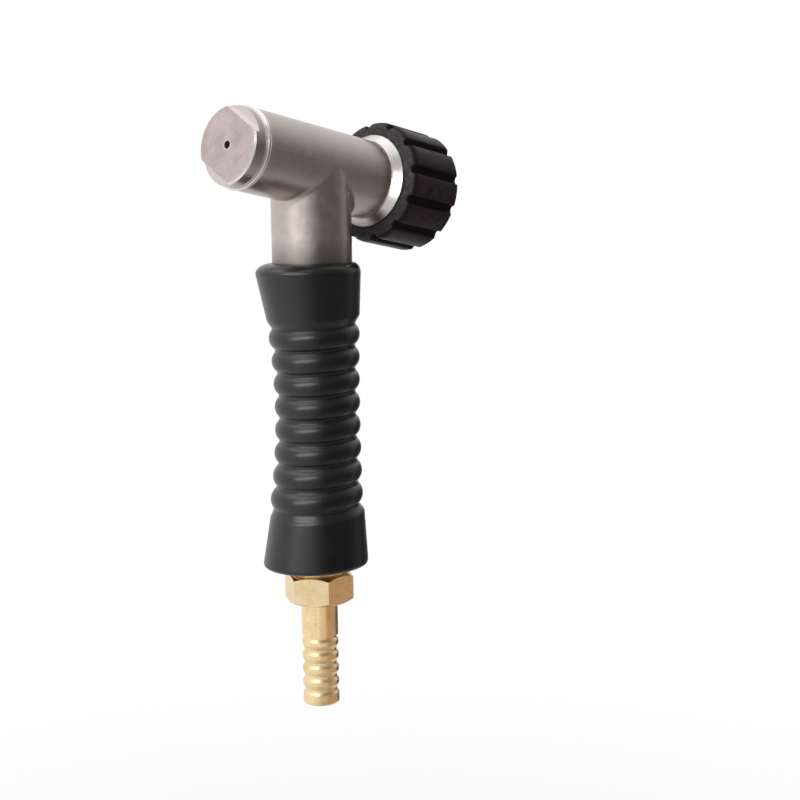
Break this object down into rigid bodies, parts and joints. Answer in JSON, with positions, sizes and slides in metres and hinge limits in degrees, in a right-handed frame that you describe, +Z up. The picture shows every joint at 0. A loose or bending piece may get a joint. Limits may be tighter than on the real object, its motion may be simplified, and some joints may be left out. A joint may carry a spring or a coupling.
{
  "type": "tig torch",
  "caption": "Hand torch with a tilted metal barrel, a fluted screw cap that works the collet, a ribbed rubber grip and a barbed brass hose tail.",
  "frame": {"origin": "on the handle's axis, at the nut's lower face, where a hose pushed onto the hose tail stops", "axes": "+Z up the handle, -Y towards the nose of the barrel, +X to the right for someone behind the knob who looks at the nose"},
  "size_m": [0.039, 0.0882, 0.1888],
  "materials": {
    "satin_metal": "satin, drawn tube",
    "turned_metal": "turned face with fine rings",
    "bright_ring": "bright turned",
    "knob_plastic": "moulded, slight sheen",
    "grip_rubber": "satin moulded rubber",
    "hose_brass": "machined",
    "inner_brass": "machined",
    "copper": "machined copper",
    "inner_steel": "drawn steel",
    "insulator": "waxy white plastic",
    "seal_rubber": "plain rubber"
  },
  "bodies": {
    "torch_body": {"head_body": "satin_metal", "front_cap": "turned_metal", "front_washer": "bright_ring", "rear_collar": "bright_ring", "collet_body": "copper", "torch_core": "inner_brass", "head_insulator": "insulator", "front_gasket": "seal_rubber", "supply_tube": "copper", "supply_sleeve": "insulator", "handle_tube": "inner_steel", "tube_screws": "inner_steel", "grip": "grip_rubber", "inlet_washer": "copper", "inlet_fitting": "hose_brass", "hose_nut": "hose_brass", "hose_tail": "hose_brass"},
    "collet": {"collet": "copper"},
    "back_cap": {"back_cap_shell": "knob_plastic", "back_cap_spindle": "inner_brass", "back_cap_seal": "seal_rubber"}
  },
  "joints": [
    {"name": "collet_travel", "type": "slide", "parent": "torch_body", "child": "collet", "axis": [0, 0.9848, -0.1736], "range_m": [0, 0.003]},
    {"name": "back_cap_turn", "type": "hinge", "parent": "collet", "child": "back_cap", "pos_m": [0, 0, 0.1377], "axis": [0, 0.9848, -0.1736], "range_deg": [0, 720]}
  ],
  "couplings": [
    {"joint": "collet_travel", "follows": "back_cap_turn", "m_per_rad": 0.00023873}
  ]
}
